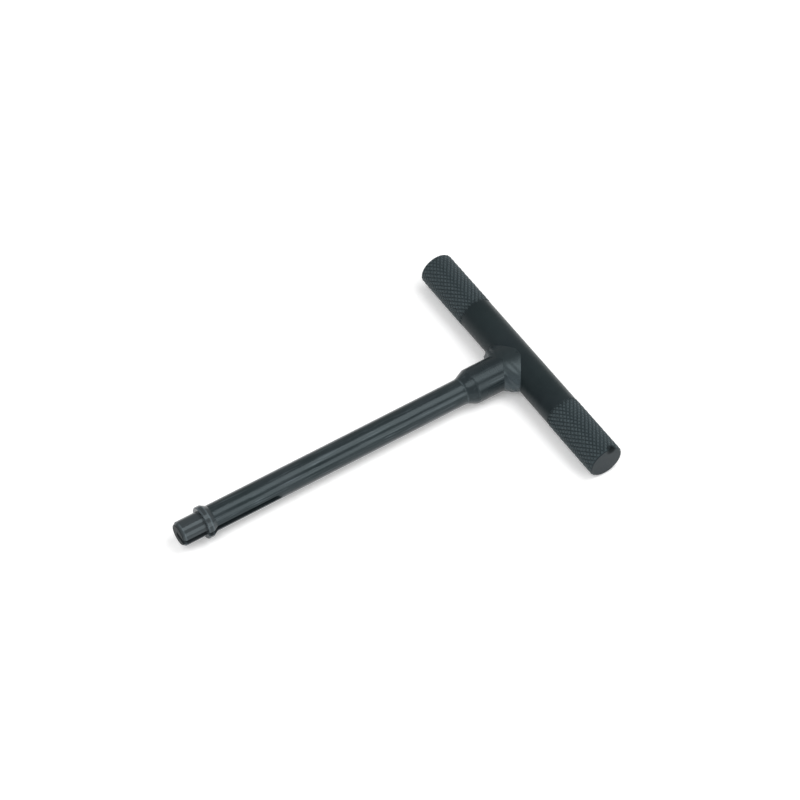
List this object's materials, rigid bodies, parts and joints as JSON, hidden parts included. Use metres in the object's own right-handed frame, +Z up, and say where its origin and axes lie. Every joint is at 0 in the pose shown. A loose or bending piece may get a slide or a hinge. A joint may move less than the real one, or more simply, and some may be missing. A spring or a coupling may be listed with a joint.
{
  "type": "t-handle tap wrench",
  "caption": "T-handle wrench: knurled round crossbar welded to a long turned shank with a stop collar and a slotted pilot nose.",
  "frame": {"origin": "on the surface that the tool lies on, at the middle of its bounding box", "axes": "+X along the shank, from the nose towards the crossbar; +Y along the crossbar; +Z up"},
  "size_m": [0.145, 0.105, 0.0132],
  "materials": {
    "crossbar_steel": "black oxide over bright-drawn bar, diamond knurl on both ends",
    "shank_steel": "black oxide over fine turned steel, satin",
    "weld_steel": "black oxide over a dressed weld bead"
  },
  "bodies": {
    "root": {"crossbar": "crossbar_steel", "shank": "shank_steel", "weld_fillet_left": "weld_steel", "weld_fillet_right": "weld_steel"}
  },
  "joints": []
}
